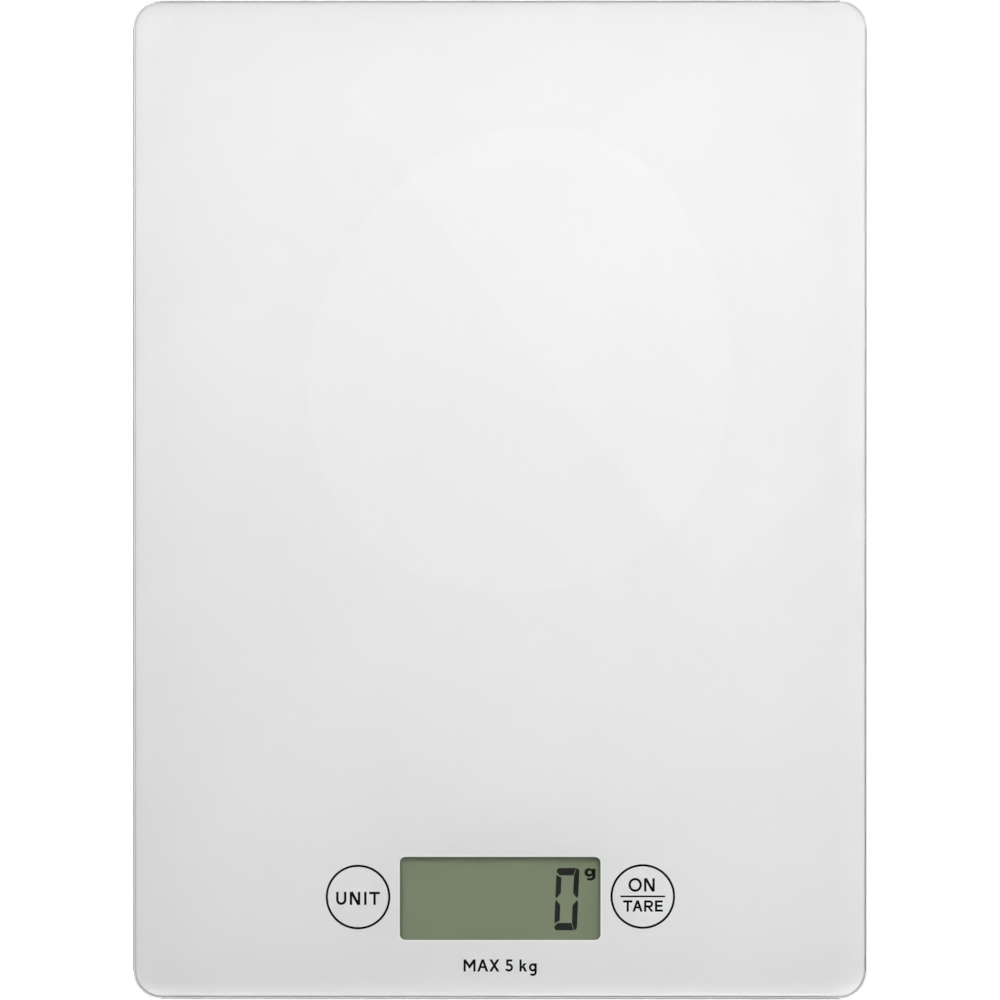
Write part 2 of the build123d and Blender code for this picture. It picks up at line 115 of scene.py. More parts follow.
class GlassSettings(bpy.types.PropertyGroup):
    """Sizes and tint of the glass plate."""

    corner: FloatProperty(
        name="Corner Radius", description="Radius of the plate's upright corners",
        default=6.3 * MM, min=MM, unit="LENGTH",
    )
    arris: FloatProperty(
        name="Arris", description="Width of the polished bevel round the upper and lower edges",
        default=0.5 * MM, min=0.0, unit="LENGTH",
    )
    seat: FloatProperty(
        name="Seat", description="How far the film's face sits in the glass, as a bonded film has no air gap",
        default=0.012 * MM, min=0.0, unit="LENGTH",
    )
    tint: FloatVectorProperty(
        name="Tint", description="Colour of light after a long way through the glass",
        default=(0.70, 0.86, 0.80), subtype="COLOR", min=0.0, max=1.0,
    )
    # Colour of the painted reflection: an opaque dark line on one band of each straight upper bevel, in place
    # of the dark reflection on the arris.
    seam: FloatVectorProperty(
        name="Seam", description="Colour of the dark line along each straight edge",
        default=(0.05, 0.05, 0.05), subtype="COLOR", min=0.0, max=1.0,
    )
    density: FloatProperty(
        name="Tint Density", description="How quickly the glass takes on its tint, per metre",
        default=2.0, min=0.0,
    )


class PrintSettings(bpy.types.PropertyGroup):
    """Sizes and colours of what is printed behind the glass."""

    white: FloatVectorProperty(
        name="White", description="Colour of the backing print",
        default=(0.808, 0.80, 0.80), subtype="COLOR", min=0.0, max=1.0,
    )
    ink: FloatVectorProperty(
        name="Ink", description="Colour of the legends",
        default=(0.003, 0.003, 0.003), subtype="COLOR", min=0.0, max=1.0,
    )
    ring_radius: FloatProperty(
        name="Key Ring Radius", description="Radius of each key's ring, to the middle of its line",
        default=7.03 * MM, min=MM, unit="LENGTH",
    )
    ring_line: FloatProperty(
        name="Key Ring Line", description="Width of each key's ring", default=0.50 * MM, unit="LENGTH",
    )
    border: FloatProperty(
        name="Window Border", description="Width of the pale line round the display window",
        default=0.32 * MM, unit="LENGTH",
    )


class DisplaySettings(bpy.types.PropertyGroup):
    """Sizes and colours of the display."""

    film: FloatVectorProperty(
        name="Background", description="Colour of the display's background",
        default=(0.190, 0.223, 0.136), subtype="COLOR", min=0.0, max=1.0,
    )
    segment: FloatVectorProperty(
        name="Segments", description="Colour of a lit segment",
        default=(0.004, 0.0045, 0.003), subtype="COLOR", min=0.0, max=1.0,
    )
    digit_height: FloatProperty(
        name="Digit Height", description="Height of a digit", default=14.05 * MM, unit="LENGTH",
    )
    digit_width: FloatProperty(
        name="Digit Width", description="Width of a digit", default=5.16 * MM, unit="LENGTH",
    )
    bar: FloatProperty(
        name="Bar", description="Thickness of the level segments", default=1.66 * MM, unit="LENGTH",
    )
    post: FloatProperty(
        name="Post", description="Thickness of the upright segments", default=1.20 * MM, unit="LENGTH",
    )
    lean: FloatProperty(
        name="Lean", description="How far the digits lean to the right", default=math.radians(2.4),
        subtype="ANGLE",
    )


class HousingSettings(bpy.types.PropertyGroup):
    """Colours of the housing and feet."""

    plastic: FloatVectorProperty(
        name="Plastic", description="Colour of the housing",
        default=(0.78, 0.78, 0.775), subtype="COLOR", min=0.0, max=1.0,
    )
    rubber: FloatVectorProperty(
        name="Rubber", description="Colour of the foot pads",
        default=(0.16, 0.16, 0.165), subtype="COLOR", min=0.0, max=1.0,
    )


class StageSettings(bpy.types.PropertyGroup):
    """The camera and the lights."""

    lens: FloatProperty(name="Lens", description="Focal length of the camera", default=180.0, min=10.0)
    view_height: FloatProperty(
        name="View Height", description="Height of the frame at the glass's face",
        default=224.55 * MM, unit="LENGTH",
    )
    lean_right: FloatProperty(
        name="Lean Right", description="How far the camera stands to the right of straight above",
        default=math.radians(0.4), subtype="ANGLE",
    )
    lean_back: FloatProperty(
        name="Lean Back", description="How far the camera stands behind straight above",
        default=math.radians(0.4), subtype="ANGLE",
    )
    key_power: FloatProperty(
        name="Key Light", description="Power of the soft box behind and to the left, in watts",
        default=5.6, min=0.0,
    )
    fill_power: FloatProperty(
        name="Fill Light", description="Power of the soft box to the right, in watts",
        default=1.22, min=0.0,
    )
    card_power: FloatProperty(
        name="Card Light", description="Power of each dim shape that only the glass mirrors, in watts",
        default=0.10, min=0.0,
    )
    sky: FloatProperty(name="Sky", description="Brightness of the room overhead", default=0.06, min=0.0)
    horizon: FloatProperty(
        name="Horizon", description="Brightness of the room at eye level", default=0.60, min=0.0,
    )
    floor_glow: FloatProperty(
        name="Floor Glow", description="Light that the floor gives the camera by itself",
        default=0.90, min=0.0,
    )


def settings(name):
    """One settings group of the open scene."""
    return getattr(bpy.context.scene, name)


# ---------------------------------------------------------------- shapes


def rounded_outline(low, high, radius, inset, steps):
    """A rectangle with quarter-circle corners, counter-clockwise from above, drawn in by inset. Each
    corner's centre stays where it is, so its radius is the full radius less the inset."""
    turn = np.linspace(0.0, math.pi / 2, steps + 1)
    quarters = np.arange(4)[:, None] * (math.pi / 2) + turn[None, :]
    centres_x = np.array([high[0], low[0], low[0], high[0]]) + np.array([-1, 1, 1, -1]) * radius
    centres_y = np.array([high[1], high[1], low[1], low[1]]) + np.array([-1, -1, 1, 1]) * radius
    x = centres_x[:, None] + (radius - inset) * np.cos(quarters)
    y = centres_y[:, None] + (radius - inset) * np.sin(quarters)
    return np.stack([x.ravel(), y.ravel()], axis=1)


def arc(centre, radii, start, end, steps):
    """Points on an ellipse from one angle to another, in degrees."""
    turn = np.radians(np.linspace(start, end, steps + 1))
    return np.array(centre) + np.stack([radii[0] * np.cos(turn), radii[1] * np.sin(turn)], axis=1)


def prism(outline, low, high):
    """A flat outline, counter-clockwise from above, raised between two heights."""
    n = len(outline)
    flat = np.concatenate([outline, outline])
    heights = np.repeat([low, high], n)
    points = np.column_stack([flat, heights])
    i = np.arange(n)
    j = (i + 1) % n
    sides = np.stack([i, j, j + n, i + n], axis=1)
    return points, [list(i[::-1]), list(i + n), *sides.tolist()]


def ribbon(path, width, low, high, closed=False):
    """A band of the given width carried along a flat path: its edges lie half a width to each side, along the
    path's normal, which is its direction turned a quarter left."""
    if closed:
        along = np.roll(path, -1, axis=0) - np.roll(path, 1, axis=0)
    else:
        along = np.gradient(path, axis=0)
    along = along / np.linalg.norm(along, axis=1, keepdims=True)
    normal = np.stack([-along[:, 1], along[:, 0]], axis=1)
    half = np.broadcast_to(np.asarray(width, dtype=float) / 2, len(path))[:, None]
    left, right = path + normal * half, path - normal * half
    n = len(path)
    rims = np.stack([left, right, right, left], axis=1)
    heights = np.broadcast_to(np.array([low, low, high, high]), (n, 4))
    points = np.concatenate([rims, heights[:, :, None]], axis=2).reshape(-1, 3)
    stations = np.arange(n if closed else n - 1)
    after = (stations + 1) % n
    corner = np.arange(4)
    beside = (corner + 1) % 4
    a = stations[:, None] * 4 + corner[None, :]
    b = after[:, None] * 4 + corner[None, :]
    c = after[:, None] * 4 + beside[None, :]
    d = stations[:, None] * 4 + beside[None, :]
    faces = np.stack([a, b, c, d], axis=2).reshape(-1, 4).tolist()
    if not closed:
        faces += [[0, 1, 2, 3], [4 * n - 1, 4 * n - 2, 4 * n - 3, 4 * n - 4]]
    return points, faces


def ring_solid(rings):
    """A closed solid from level rings of equal length, lowest first: sides between rings, and a flat end on
    each."""
    n = len(rings[0])
    points = np.concatenate(rings)
    i = np.arange(n)
    j = (i + 1) % n
    faces = [list(i[::-1])]
    for level in range(len(rings) - 1):
        faces += (np.stack([i, j, j + n, i + n], axis=1) + level * n).tolist()
    faces.append(list(i + (len(rings) - 1) * n))
    return points, faces


def joined(shapes):
    """Several shapes as one list of points and one of faces."""
    starts = np.cumsum([0] + [len(points) for points, _ in shapes[:-1]])
    points = np.concatenate([points for points, _ in shapes])
    faces = []
    for start, (_, made) in zip(starts, shapes):
        faces += [[index + start for index in face] for face in made]
    return points, faces


def moved(shape, x, y):
    """A shape moved level."""
    points, faces = shape
    return points + np.array([x, y, 0.0]), faces


def add_piece(name, shape, material, smooth_below=None):
    """A new object at the origin with its place in its mesh. Edges sharper than smooth_below degrees stay
    crisp."""
    points, faces = shape
    mesh = bpy.data.meshes.new(name)
    mesh.from_pydata(points.tolist(), [], faces)
    if smooth_below is not None:
        mesh.polygons.foreach_set("use_smooth", np.ones(len(mesh.polygons), dtype=bool))
        mesh.set_sharp_from_angle(angle=math.radians(smooth_below))
    mesh.materials.append(material)
    mesh.validate()
    piece = bpy.data.objects.new(name, mesh)
    bpy.context.collection.objects.link(piece)
    return piece


# ---------------------------------------------------------------- materials


def new_material(name):
    """An empty node material with one Principled shader on its output."""
    made = bpy.data.materials.new(name)
    made.use_nodes = True
    tree = made.node_tree
    tree.nodes.clear()
    output = tree.nodes.new("ShaderNodeOutputMaterial")
    shader = tree.nodes.new("ShaderNodeBsdfPrincipled")
    tree.links.new(shader.outputs["BSDF"], output.inputs["Surface"])
    return made, tree, shader


def object_noise(tree, scale, detail=3.0, stretch=(1.0, 1.0, 1.0), roughness=0.5):
    """A noise pattern on Object coordinates. Scale counts its features along one metre."""
    place = tree.nodes.new("ShaderNodeTexCoord")
    mapping = tree.nodes.new("ShaderNodeMapping")
    mapping.inputs["Scale"].default_value = stretch
    noise = tree.nodes.new("ShaderNodeTexNoise")
    noise.inputs["Scale"].default_value = scale
    noise.inputs["Detail"].default_value = detail
    noise.inputs["Roughness"].default_value = roughness
    tree.links.new(place.outputs["Object"], mapping.inputs["Vector"])
    tree.links.new(mapping.outputs["Vector"], noise.inputs["Vector"])
    return noise.outputs["Fac"]


def colour_between(tree, factor, dark, light, low=0.3, high=0.7):
    """A colour that goes from dark to light as the factor goes from low to high."""
    ramp = tree.nodes.new("ShaderNodeValToRGB")
    ramp.color_ramp.elements[0].position = low
    ramp.color_ramp.elements[0].color = (*dark, 1.0)
    ramp.color_ramp.elements[1].position = high
    ramp.color_ramp.elements[1].color = (*light, 1.0)
    tree.links.new(factor, ramp.inputs["Fac"])
    return ramp.outputs["Color"]


def value_between(tree, factor, least, most, low=0.3, high=0.7):
    """A value that goes from least to most as the factor goes from low to high."""
    scale = tree.nodes.new("ShaderNodeMapRange")
    scale.inputs["From Min"].default_value = low
    scale.inputs["From Max"].default_value = high
    scale.inputs["To Min"].default_value = least
    scale.inputs["To Max"].default_value = most
    tree.links.new(factor, scale.inputs["Value"])
    return scale.outputs["Result"]


def bump_from(tree, height, distance, strength=1.0, under=None):
    """A bumped normal from a height pattern, on top of another one if given."""
    bump = tree.nodes.new("ShaderNodeBump")
    bump.inputs["Strength"].default_value = strength
    bump.inputs["Distance"].default_value = distance
    tree.links.new(height, bump.inputs["Height"])
    if under is not None:
        tree.links.new(under, bump.inputs["Normal"])
    return bump.outputs["Normal"]


def shade(colour, by):
    """A colour made darker or lighter by a factor."""
    return tuple(min(1.0, channel * by) for channel in colour)


def moulded_plastic(name, colour, grain=5200.0, depth=0.004, roughness=(0.42, 0.52)):
    """Injection-moulded plastic with a fine spark-eroded grain and slow flow marks."""
    made, tree, shader = new_material(name)
    flow = object_noise(tree, 26.0, 4.0, (1.0, 0.4, 1.0))
    tone = colour_between(tree, flow, shade(colour, 0.975), shade(colour, 1.01))
    tree.links.new(tone, shader.inputs["Base Color"])
    fine = object_noise(tree, grain, 2.0)
    tree.links.new(value_between(tree, fine, *roughness), shader.inputs["Roughness"])
    tree.links.new(bump_from(tree, fine, depth * MM, 0.35), shader.inputs["Normal"])
    shader.inputs["IOR"].default_value = 1.53
    return made


def soft_rubber(name, colour, grain=3400.0):
    """Matt rubber with a fine grain and dusty lighter patches."""
    made, tree, shader = new_material(name)
    dust = object_noise(tree, 240.0, 5.0)
    tone = colour_between(tree, dust, shade(colour, 0.85), shade(colour, 1.2))
    tree.links.new(tone, shader.inputs["Base Color"])
    fine = object_noise(tree, grain, 3.0)
    tree.links.new(value_between(tree, fine, 0.72, 0.9), shader.inputs["Roughness"])
    tree.links.new(bump_from(tree, fine, 0.012 * MM, 0.5), shader.inputs["Normal"])
    shader.inputs["Specular IOR Level"].default_value = 0.35
    return made


def brushed_metal(name, colour, stretch=(1.0, 30.0, 30.0), roughness=(0.22, 0.38)):
    """Plated or stamped metal with fine drawn lines along X and slow clouding."""
    made, tree, shader = new_material(name)
    lines = object_noise(tree, 420.0, 4.0, stretch)
    cloud = object_noise(tree, 130.0, 3.0)
    tone = colour_between(tree, cloud, shade(colour, 0.86), shade(colour, 1.06))
    tree.links.new(tone, shader.inputs["Base Color"])
    tree.links.new(value_between(tree, lines, *roughness), shader.inputs["Roughness"])
    tree.links.new(bump_from(tree, lines, 0.002 * MM, 0.4), shader.inputs["Normal"])
    shader.inputs["Metallic"].default_value = 1.0
    return made


def satin_piece(name, colour, scale=900.0, spread=0.12, roughness=(0.35, 0.5), coat=0.0):
    """A small satin part with slight colour variation and a soft surface."""
    made, tree, shader = new_material(name)
    cloud = object_noise(tree, scale, 4.0)
    tone = colour_between(tree, cloud, shade(colour, 1 - spread), shade(colour, 1 + spread))
    tree.links.new(tone, shader.inputs["Base Color"])
    tree.links.new(value_between(tree, cloud, *roughness), shader.inputs["Roughness"])
    tree.links.new(bump_from(tree, cloud, 0.006 * MM, 0.35), shader.inputs["Normal"])
    shader.inputs["Coat Weight"].default_value = coat
    return made


def clear_glass(name, tint, density):
    """Polished glass with a very slow waviness, faint wiping marks and the green of long ways through it.
    Lamps reach what is behind it through its see-through side."""
    made, tree, shader = new_material(name)
    output = next(node for node in tree.nodes if node.type == "OUTPUT_MATERIAL")
    wipes = object_noise(tree, 34.0, 6.0, (1.0, 0.25, 1.0), 0.65)
    tree.links.new(value_between(tree, wipes, 0.0, 0.028, 0.45, 0.8), shader.inputs["Roughness"])
    wave = object_noise(tree, 9.0, 1.0, (1.0, 0.6, 0.0))
    tree.links.new(bump_from(tree, wave, 0.02 * MM, 0.6), shader.inputs["Normal"])
    shader.inputs["Base Color"].default_value = (1.0, 1.0, 1.0, 1.0)
    shader.inputs["Transmission Weight"].default_value = 1.0
    shader.inputs["IOR"].default_value = 1.52
    passing = tree.nodes.new("ShaderNodeBsdfTransparent")
    passing.inputs["Color"].default_value = (0.95, 0.96, 0.955, 1.0)
    ray = tree.nodes.new("ShaderNodeLightPath")
    mix = tree.nodes.new("ShaderNodeMixShader")
    tree.links.new(ray.outputs["Is Shadow Ray"], mix.inputs["Fac"])
    tree.links.new(shader.outputs["BSDF"], mix.inputs[1])
    tree.links.new(passing.outputs["BSDF"], mix.inputs[2])
    tree.links.new(mix.outputs["Shader"], output.inputs["Surface"])
    absorb = tree.nodes.new("ShaderNodeVolumeAbsorption")
    absorb.inputs["Color"].default_value = (*tint, 1.0)
    absorb.inputs["Density"].default_value = density
    tree.links.new(absorb.outputs["Volume"], output.inputs["Volume"])
    return made


def backing_white(name, colour):
    """Screen-printed white: nearly even, with slow clouds of thicker ink and a fine grain."""
    made, tree, shader = new_material(name)
    cloud = object_noise(tree, 14.0, 5.0, (1.0, 1.0, 1.0), 0.6)
    tone = colour_between(tree, cloud, shade(colour, 0.985), shade(colour, 1.012))
    tree.links.new(tone, shader.inputs["Base Color"])
    fine = object_noise(tree, 2600.0, 2.0)
    tree.links.new(value_between(tree, fine, 0.5, 0.62), shader.inputs["Roughness"])
    tree.links.new(bump_from(tree, fine, 0.001 * MM, 0.25), shader.inputs["Normal"])
    shader.inputs["Specular IOR Level"].default_value = 0.1
    return made


def printed_ink(name, colour):
    """Screen ink with a slightly uneven body."""
    made, tree, shader = new_material(name)
    body = object_noise(tree, 1500.0, 4.0)
    tone = colour_between(tree, body, shade(colour, 0.7), shade(colour, 1.5))
    tree.links.new(tone, shader.inputs["Base Color"])
    tree.links.new(value_between(tree, body, 0.7, 0.85), shader.inputs["Roughness"])
    shader.inputs["Specular IOR Level"].default_value = 0.04
    return made


def display_film(name, colour):
    """The display's satin film over its grained reflector: fine sparkle, soft sheen and slow shading."""
    made, tree, shader = new_material(name)
    grain = object_noise(tree, 5200.0, 2.0, (1.0, 0.35, 1.0))
    cloud = object_noise(tree, 55.0, 3.0)
    blend = tree.nodes.new("ShaderNodeMix")
    blend.data_type = "RGBA"
    blend.inputs["Factor"].default_value = 0.35
    slow = colour_between(tree, cloud, shade(colour, 0.965), shade(colour, 1.03))
    quick = colour_between(tree, grain, shade(colour, 0.90), shade(colour, 1.10))
    tree.links.new(slow, blend.inputs["A"])
    tree.links.new(quick, blend.inputs["B"])
    tree.links.new(blend.outputs["Result"], shader.inputs["Base Color"])
    tree.links.new(value_between(tree, grain, 0.34, 0.46), shader.inputs["Roughness"])
    tree.links.new(bump_from(tree, grain, 0.002 * MM, 0.3), shader.inputs["Normal"])
    shader.inputs["Specular IOR Level"].default_value = 0.3
    return made


def circuit_board(name):
    """Green solder mask with darker copper areas under it."""
    made, tree, shader = new_material(name)
    place = tree.nodes.new("ShaderNodeTexCoord")
    cells = tree.nodes.new("ShaderNodeTexBrick")
    cells.inputs["Scale"].default_value = 1.0
    cells.inputs["Brick Width"].default_value = 4.2 * MM
    cells.inputs["Row Height"].default_value = 1.7 * MM
    cells.inputs["Mortar Size"].default_value = 0.25 * MM
    cells.inputs["Color1"].default_value = (0.020, 0.190, 0.070, 1.0)
    cells.inputs["Color2"].default_value = (0.026, 0.215, 0.082, 1.0)
    cells.inputs["Mortar"].default_value = (0.045, 0.300, 0.120, 1.0)
    tree.links.new(place.outputs["Object"], cells.inputs["Vector"])
    tree.links.new(cells.outputs["Color"], shader.inputs["Base Color"])
    fine = object_noise(tree, 1800.0, 3.0)
    tree.links.new(value_between(tree, fine, 0.28, 0.42), shader.inputs["Roughness"])
    tree.links.new(bump_from(tree, cells.outputs["Fac"], 0.02 * MM, 0.4), shader.inputs["Normal"])
    return made


def striped_rubber(name):
    """Elastomer with fine dark and pale layers along X."""
    made, tree, shader = new_material(name)
    place = tree.nodes.new("ShaderNodeTexCoord")
    layers = tree.nodes.new("ShaderNodeTexWave")
    layers.wave_profile = "TRI"
    layers.inputs["Scale"].default_value = 1600.0
    layers.inputs["Distortion"].default_value = 0.0
    tree.links.new(place.outputs["Object"], layers.inputs["Vector"])
    tone = colour_between(tree, layers.outputs["Fac"], (0.02, 0.02, 0.02), (0.42, 0.36, 0.34))
    tree.links.new(tone, shader.inputs["Base Color"])
    fine = object_noise(tree, 2500.0)
    tree.links.new(value_between(tree, fine, 0.55, 0.7), shader.inputs["Roughness"])
    return made


def dress(node, material):
    """Gives a CAD node a new material in all its slots."""
    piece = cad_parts[node]
    for slot in piece.material_slots:
        slot.material = material


# ---------------------------------------------------------------- lettering

# A letter is a list of flat shapes on a square of unit cap height, in letter units: bands that follow a
# path, and outlines. Each takes the line's width in the same units.


def bar_outline(left, right, low, high):
    """A level or upright bar as an outline."""
    return np.array([(left, low), (right, low), (right, high), (left, high)])


def letter_u(w, wide=0.78):
    """Two posts joined by half an ellipse."""
    half, foot = (wide - w) / 2, 0.40
    left = np.array([(w / 2, 1.0), (w / 2, foot + 0.01)])
    curve = arc((wide / 2, foot), (half, foot - w / 2), 180.0, 360.0, 24)
    right = np.array([(wide - w / 2, foot + 0.01), (wide - w / 2, 1.0)])
    return [("band", np.concatenate([left, curve, right]))], wide


def letter_n(w, wide=0.80):
    """Two posts and the part of the slanting stroke between them."""
    slant = w * 1.28
    slope = 1.0 / (wide - slant)
    inner_left, inner_right = w, wide - w
    middle = np.array([
        (inner_left, 1.0 - slope * inner_left),
        (inner_right, 1.0 - slope * inner_right),
        (inner_right, 1.0 - slope * (inner_right - slant)),
        (inner_left, 1.0 - slope * (inner_left - slant)),
    ])
    posts = [bar_outline(0.0, w, 0.0, 1.0), bar_outline(wide - w, wide, 0.0, 1.0)]
    return [("outline", shape) for shape in [*posts, middle]], wide


def letter_i(w):
    """One post."""
    return [("outline", bar_outline(0.0, w, 0.0, 1.0))], w


def letter_t(w, wide=0.82):
    """A bar on a post."""
    middle = wide / 2
    post = bar_outline(middle - w / 2, middle + w / 2, 0.0, 1.0 - w)
    return [("outline", bar_outline(0.0, wide, 1.0 - w, 1.0)), ("outline", post)], wide


def letter_o(w, wide=1.0):
    """One closed ellipse, slightly taller than the other letters."""
    ring = arc((wide / 2, 0.5), ((wide - w) / 2, (1.04 - w) / 2), 0.0, 360.0, 48)[:-1]
    return [("ring", ring)], wide


def letter_a(w, wide=0.90):
    """Two leaning legs that share the letter's middle line, and a bar between them."""
    foot, middle = w * 1.08, wide / 2
    slope = middle - foot / 2
    left = np.array([
        (0.0, 0.0),
        (foot, 0.0),
        (middle, (middle - foot) / slope),
        (middle, 1.0),
        (middle - foot / 2, 1.0),
    ])
    right = np.stack([wide - left[::-1, 0], left[::-1, 1]], axis=1)
    bar_low, bar_high = 0.28, 0.28 + w * 0.9
    bar = np.array([
        (foot + slope * bar_low, bar_low),
        (wide - foot - slope * bar_low, bar_low),
        (wide - foot - slope * bar_high, bar_high),
        (foot + slope * bar_high, bar_high),
    ])
    return [("outline", left), ("outline", right), ("outline", bar)], wide


def letter_r(w, wide=0.82):
    """A post, a bowl that leaves its top and returns at mid height, and a leg."""
    waist, bowl = 0.46, 0.80
    half = (1.0 - w / 2 - waist) / 2
    centre = (bowl - w / 2 - half, waist + half)
    curve = arc(centre, (half, half), 90.0, -90.0, 20)
    path = np.concatenate([[(w, 1.0 - w / 2)], curve, [(w, waist)]])
    hip, knee = 0.55, waist - w / 2
    leg = np.array([(wide - w * 1.15, 0.0), (wide + w * 0.05, 0.0), (hip, knee), (hip - w * 1.15, knee)])
    return [("outline", bar_outline(0.0, w, 0.0, 1.0)), ("band", path), ("outline", leg)], wide


def letter_e(w, wide=0.70):
    """A post and three bars."""
    bars = [bar_outline(0.0, w, 0.0, 1.0)]
    for low, reach in ((0.0, wide), ((1.0 - w) / 2 + 0.02, wide * 0.94), (1.0 - w, wide * 0.97)):
        bars.append(bar_outline(w, reach, low, low + w))
    return [("outline", shape) for shape in bars], wide


def letter_m(w, wide=0.98):
    """Two posts and a V between them."""
    middle, foot = wide / 2, 0.22
    left = np.array([(w, 1.0), (w, 1.0 - w * 1.9), (middle, foot), (middle, foot + w * 1.9)])
    right = np.stack([wide - left[::-1, 0], left[::-1, 1]], axis=1)
    posts = [bar_outline(0.0, w, 0.0, 1.0), bar_outline(wide - w, wide, 0.0, 1.0)]
    return [("outline", shape) for shape in [*posts, left, right]], wide


def letter_x(w, wide=0.84):
    """A leaning bar and the two halves of the one that crosses it."""
    foot = w * 1.2
    slope = wide - foot
    bar = np.array([(0.0, 0.0), (foot, 0.0), (wide, 1.0), (slope, 1.0)])
    middle, rise = wide / 2, foot / slope / 2
    low = np.array([(slope, 0.0), (wide, 0.0), (middle + foot / 2, 0.5), (middle, 0.5 - rise)])
    high = np.array([(0.0, 1.0), (middle - foot / 2, 0.5), (middle, 0.5 + rise), (foot, 1.0)])
    return [("outline", shape) for shape in (bar, low, high)], wide


def figure_5(w, wide=0.62):
    """A bar, a short post and a bowl that starts from it."""
    radius = 0.33 - w / 2
    bowl = arc((0.27, 0.33), (wide - 0.27 - w / 2, radius), 125.0, -150.0, 24)
    post = bar_outline(0.06, 0.06 + w, 0.50, 1.0 - w)
    roof = bar_outline(0.06, wide - 0.06, 1.0 - w, 1.0)
    return [("outline", roof), ("outline", post), ("band", bowl)], wide


def letter_k(w, wide=0.62):
    """A post, an arm and a leg."""
    top_x, top_y = w + 0.22, 0.44
    leg = np.array([(wide - w * 1.2, 0.0), (wide, 0.0), (top_x, top_y), (top_x - w * 0.75, top_y - w * 0.7)])
    arm = np.array([(w, 0.22), (wide - 0.02, 0.68), (wide - w * 1.5, 0.68), (w, 0.22 + w * 1.15)])
    return [("outline", shape) for shape in (bar_outline(0.0, w, 0.0, 1.0), arm, leg)], wide


def letter_g(w, wide=0.64):
    """A round bowl, a post at its right and a hook below."""
    half = (wide - w) / 2
    bowl = arc((wide / 2, 0.34), (half, 0.34 - w / 2), 0.0, 360.0, 32)[:-1]
    down = np.array([(wide - w / 2, 0.68), (wide - w / 2, -0.04)])
    hook = arc((wide / 2, -0.05), (half, 0.22), 0.0, -145.0, 16)
    return [("ring", bowl), ("band", np.concatenate([down, hook]))], wide


LETTERS = {
    "U": letter_u, "N": letter_n, "I": letter_i, "T": letter_t, "O": letter_o, "A": letter_a, "R": letter_r,
    "E": letter_e, "M": letter_m, "X": letter_x, "5": figure_5, "k": letter_k, "g": letter_g,
}


def word(text, low, high):
    """A word of stroke letters centred on the origin, with the sizes that WORDS gives it."""
    height, line = WORDS[text][0] * MM, WORDS[text][1] * MM
    gaps = [gap * MM for gap in WORDS[text][2]]
    shapes, x = [], 0.0
    for letter, gap in zip(text, [*gaps, 0.0]):
        strokes, wide = LETTERS[letter](line / height)
        for kind, flat in strokes:
            flat = flat * height + np.array([x, -height / 2])
            if kind == "outline":
                shapes.append(prism(flat, low, high))
            else:
                shapes.append(ribbon(flat, line, low, high, closed=kind == "ring"))
        x += wide * height + gap
    return moved(joined(shapes), -x / 2, 0.0)


# ---------------------------------------------------------------- pieces


def edge_profile(arris, low, high, ease=0.06 * MM):
    """Inset and height up the plate's side: a bevel, an upright face and a bevel in three bands, with each
    corner eased by a parabola tangent to the faces beside it."""
    corners = [(arris, low), (0.0, low + arris), (0.0, high - arris), (arris, high)]
    ways = [(1.0, 0.0), (1.0, 1.0), (0.0, 1.0), (-1.0, 1.0), (-1.0, 0.0)]
    turns = np.linspace(0.0, 1.0, EASE_STEPS + 1)[:, None]
    rows = []
    for (inset, z), before, after in zip(corners, ways, ways[1:]):
        corner = np.array([inset, z])
        leave = np.array([-before[0], before[1]]) / np.hypot(*before)
        arrive = np.array([-after[0], after[1]]) / np.hypot(*after)
        start, end = corner - leave * ease, corner + arrive * ease
        rows.append((1 - turns) ** 2 * start + 2 * turns * (1 - turns) * corner + turns**2 * end)
    thirds = np.linspace(0.0, 1.0, BEVEL_BANDS + 1)[1:-1, None]
    rows.insert(3, rows[2][-1] * (1 - thirds) + rows[3][0] * thirds)
    return np.concatenate(rows)


class SCALE_OT_glass(bpy.types.Operator):
    """Make the glass plate with its polished arrises and a painted dark reflection line along each straight
    edge
    """

    bl_idname = "kitchen_scale.glass"
    bl_label = "Glass Plate"

    def execute(self, context):
        glass = settings("scale_glass")
        low = GLASS_LOW.z - glass.seat
        profile = edge_profile(glass.arris, low, GLASS_HIGH.z)
        rings = []
        for inset, z in profile:
            flat = rounded_outline(GLASS_LOW, GLASS_HIGH, glass.corner, inset, 24)
            rings.append(np.column_stack([flat, np.full(len(flat), z)]))
        material = clear_glass("glass_clear", glass.tint, glass.density)
        plate = add_piece("glass_plate", ring_solid(rings), material, smooth_below=32.0)
        # The dark line along each straight edge is a painted reflection, not a real seam in the glass.
        plate.data.materials.append(printed_ink("glass_painted_dark_edge", glass.seam))
        around = len(rings[0])
        lowest_band = len(profile) - (EASE_STEPS + 1) - BEVEL_BANDS
        for side, across in enumerate(PAINTED_DARK_EDGE_BANDS):
            straight = (side + 1) * around // 4 - 1
            plate.data.polygons[1 + (lowest_band + across) * around + straight].material_index = 1
        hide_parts("glass_platform")
        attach(plate, "body")
        return {"FINISHED"}


class SCALE_OT_print(bpy.types.Operator):
    """Finish the backing print and add the pale line round the display window"""

    bl_idname = "kitchen_scale.print"
    bl_label = "Backing Print"

    def execute(self, context):
        ink = settings("scale_print")
        dress("printed_film", backing_white("print_white", ink.white))
        low, high = FILM_HIGH.z - BORDER_SINK, FILM_HIGH.z + BORDER_RISE
        centre = Vector(((FILM_LOW.x + FILM_HIGH.x) / 2, FILM_LOW.y + WINDOW_FROM_FRONT))
        half = WINDOW_HALF + Vector((ink.border / 2, ink.border / 2))
        path = rounded_outline(centre - half, centre + half, WINDOW_CORNER + ink.border / 2, 0.0, 20)
        # A line round the window whose colour is 1.1 times the backing white.
        material = backing_white("window_pale_line", shade(ink.white, 1.1))
        border = add_piece("window_border", ribbon(path, ink.border, low, high, closed=True), material)
        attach(border, "body")
        return {"FINISHED"}


